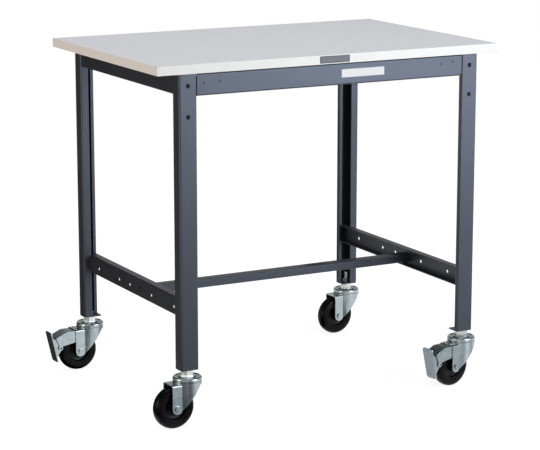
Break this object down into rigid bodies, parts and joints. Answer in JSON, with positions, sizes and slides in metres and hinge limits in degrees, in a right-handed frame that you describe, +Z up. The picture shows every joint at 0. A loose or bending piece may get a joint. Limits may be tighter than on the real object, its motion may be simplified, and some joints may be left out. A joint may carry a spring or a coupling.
{
  "type": "mobile work table",
  "caption": "Mobile work table: a laminated board on a bolted folded-steel frame that rolls on swivel castors, some with a pedal brake.",
  "frame": {"origin": "on the floor, under the middle of the board", "axes": "+X to the right along the table, +Y to the back, +Z up; the user stands on the -Y side"},
  "size_m": [0.9409, 0.635, 0.837],
  "materials": {
    "laminate": "light grey laminate, satin",
    "edging_white": "satin",
    "edging_warm": "satin",
    "frame_paint": "dark grey powder coat",
    "zinc": "bright zinc plate",
    "black_screws": "black oxide",
    "hub_black": "matt",
    "tyre_rubber": "matt"
  },
  "bodies": {
    "table": {"board": "laminate", "front_edging": "edging_white", "rear_edging": "edging_white", "left_edging": "edging_warm", "right_edging": "edging_warm", "leg_front_left": "frame_paint", "leg_front_right": "frame_paint", "leg_rear_left": "frame_paint", "leg_rear_right": "frame_paint", "foot_plates": "frame_paint", "front_apron": "frame_paint", "rear_apron": "frame_paint", "left_top_rail": "frame_paint", "right_top_rail": "frame_paint", "left_low_rail": "frame_paint", "right_low_rail": "frame_paint", "stretcher": "frame_paint", "corner_brackets": "frame_paint", "frame_bolts": "black_screws", "frame_nuts": "zinc", "stretcher_bolts": "black_screws", "board_screws": "zinc", "stem_nuts": "zinc", "castor_stems": "zinc", "stem_washers": "zinc", "race_caps": "zinc", "race_balls": "zinc"},
    "castor_front_left": {"fork_front_left": "zinc", "axle_front_left": "zinc", "bush_front_left": "zinc"},
    "wheel_front_left": {"hub_front_left": "hub_black", "tyre_front_left": "tyre_rubber"},
    "castor_front_right": {"fork_front_right": "zinc", "axle_front_right": "zinc", "bush_front_right": "zinc", "brake_bracket_front_right": "zinc", "bracket_rivets_front_right": "zinc", "pedal_pin_front_right": "zinc"},
    "wheel_front_right": {"hub_front_right": "hub_black", "tyre_front_right": "tyre_rubber"},
    "pedal_front_right": {"brake_pedal_front_right": "zinc", "brake_shoe_front_right": "tyre_rubber"},
    "castor_rear_left": {"fork_rear_left": "zinc", "axle_rear_left": "zinc", "bush_rear_left": "zinc", "brake_bracket_rear_left": "zinc", "bracket_rivets_rear_left": "zinc", "pedal_pin_rear_left": "zinc"},
    "wheel_rear_left": {"hub_rear_left": "hub_black", "tyre_rear_left": "tyre_rubber"},
    "pedal_rear_left": {"brake_pedal_rear_left": "zinc", "brake_shoe_rear_left": "tyre_rubber"},
    "castor_rear_right": {"fork_rear_right": "zinc", "axle_rear_right": "zinc", "bush_rear_right": "zinc"},
    "wheel_rear_right": {"hub_rear_right": "hub_black", "tyre_rear_right": "tyre_rubber"}
  },
  "joints": [
    {"name": "swivel_front_left", "type": "hinge", "parent": "table", "child": "castor_front_left", "pos_m": [-0.374, -0.28, 0.106], "axis": [0, 0, 1], "continuous": true},
    {"name": "roll_front_left", "type": "hinge", "parent": "castor_front_left", "child": "wheel_front_left", "pos_m": [-0.41095, -0.28194, 0.05], "axis": [-0.0523, 0.9986, 0], "continuous": true},
    {"name": "swivel_front_right", "type": "hinge", "parent": "table", "child": "castor_front_right", "pos_m": [0.374, -0.28, 0.106], "axis": [0, 0, 1], "continuous": true},
    {"name": "roll_front_right", "type": "hinge", "parent": "castor_front_right", "child": "wheel_front_right", "pos_m": [0.33781, -0.28769, 0.05], "axis": [-0.2079, 0.9781, 0], "continuous": true},
    {"name": "brake_front_right", "type": "hinge", "parent": "castor_front_right", "child": "pedal_front_right", "pos_m": [0.28499, -0.29892, 0.0645], "axis": [0.2079, -0.9781, 0], "range_deg": [0, 16]},
    {"name": "swivel_rear_left", "type": "hinge", "parent": "table", "child": "castor_rear_left", "pos_m": [-0.374, 0.28, 0.106], "axis": [0, 0, 1], "continuous": true},
    {"name": "roll_rear_left", "type": "hinge", "parent": "castor_rear_left", "child": "wheel_rear_left", "pos_m": [-0.41095, 0.27806, 0.05], "axis": [-0.0523, 0.9986, 0], "continuous": true},
    {"name": "brake_rear_left", "type": "hinge", "parent": "castor_rear_left", "child": "pedal_rear_left", "pos_m": [-0.46487, 0.27524, 0.0645], "axis": [0.0523, -0.9986, 0], "range_deg": [0, 16]},
    {"name": "swivel_rear_right", "type": "hinge", "parent": "table", "child": "castor_rear_right", "pos_m": [0.374, 0.28, 0.106], "axis": [0, 0, 1], "continuous": true},
    {"name": "roll_rear_right", "type": "hinge", "parent": "castor_rear_right", "child": "wheel_rear_right", "pos_m": [0.33714, 0.27677, 0.05], "axis": [-0.0872, 0.9962, 0], "continuous": true}
  ]
}
